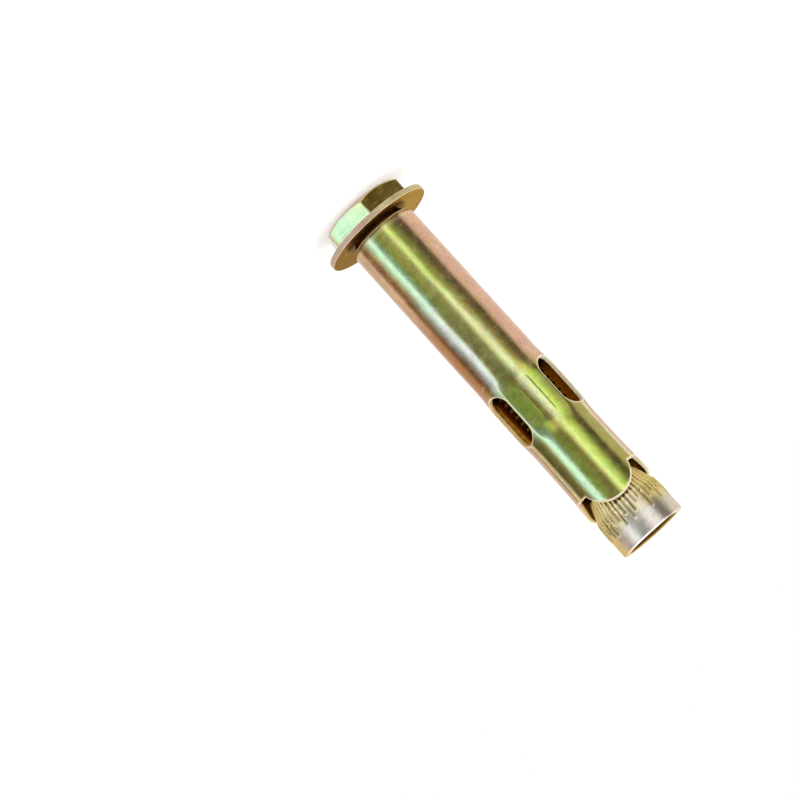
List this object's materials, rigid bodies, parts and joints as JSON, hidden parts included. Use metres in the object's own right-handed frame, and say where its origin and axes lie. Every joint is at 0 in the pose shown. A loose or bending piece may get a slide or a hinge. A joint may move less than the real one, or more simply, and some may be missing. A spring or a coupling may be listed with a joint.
{
  "type": "expansion bolt",
  "caption": "Sleeve anchor for concrete: a thin-headed bolt draws a ribbed cone nut into a slit sleeve of rolled sheet, whose petals spread in the drilled hole.",
  "frame": {"origin": "centre of the bolt head's outer face, on which the anchor stands", "axes": "+Z along the bolt from the head to the cone nut, -Y towards the whole petal between two windows"},
  "size_m": [0.0256, 0.0256, 0.0929],
  "materials": {
    "bolt_zinc": "yellow passivated zinc on cold-formed steel, green and pink tints",
    "washer_zinc": "yellow passivated zinc on stamped steel, satin tan",
    "sleeve_zinc": "yellow passivated zinc on rolled sheet, glossy, iridescent green and pink",
    "nut_zinc": "yellow passivated zinc on knurled steel, gold ribs and a silvery collar"
  },
  "bodies": {
    "sleeve": {"expansion_sleeve": "sleeve_zinc"},
    "bolt": {"hex_bolt": "bolt_zinc"},
    "washer": {"flat_washer": "washer_zinc"},
    "nut": {"cone_nut": "nut_zinc"}
  },
  "joints": [
    {"name": "bolt_turn", "type": "hinge", "parent": "sleeve", "child": "bolt", "pos_m": [0, 0, 0], "axis": [0, 0, -1], "range_deg": [0, 1620]},
    {"name": "nut_travel", "type": "slide", "parent": "sleeve", "child": "nut", "axis": [0, 0, 1], "range_m": [0, 0.00788]},
    {"name": "washer_spin", "type": "hinge", "parent": "bolt", "child": "washer", "pos_m": [0, 0, 0.0049], "axis": [0, 0, 1], "continuous": true}
  ],
  "couplings": [
    {"joint": "nut_travel", "follows": "bolt_turn", "m_per_rad": 0.00027852}
  ]
}
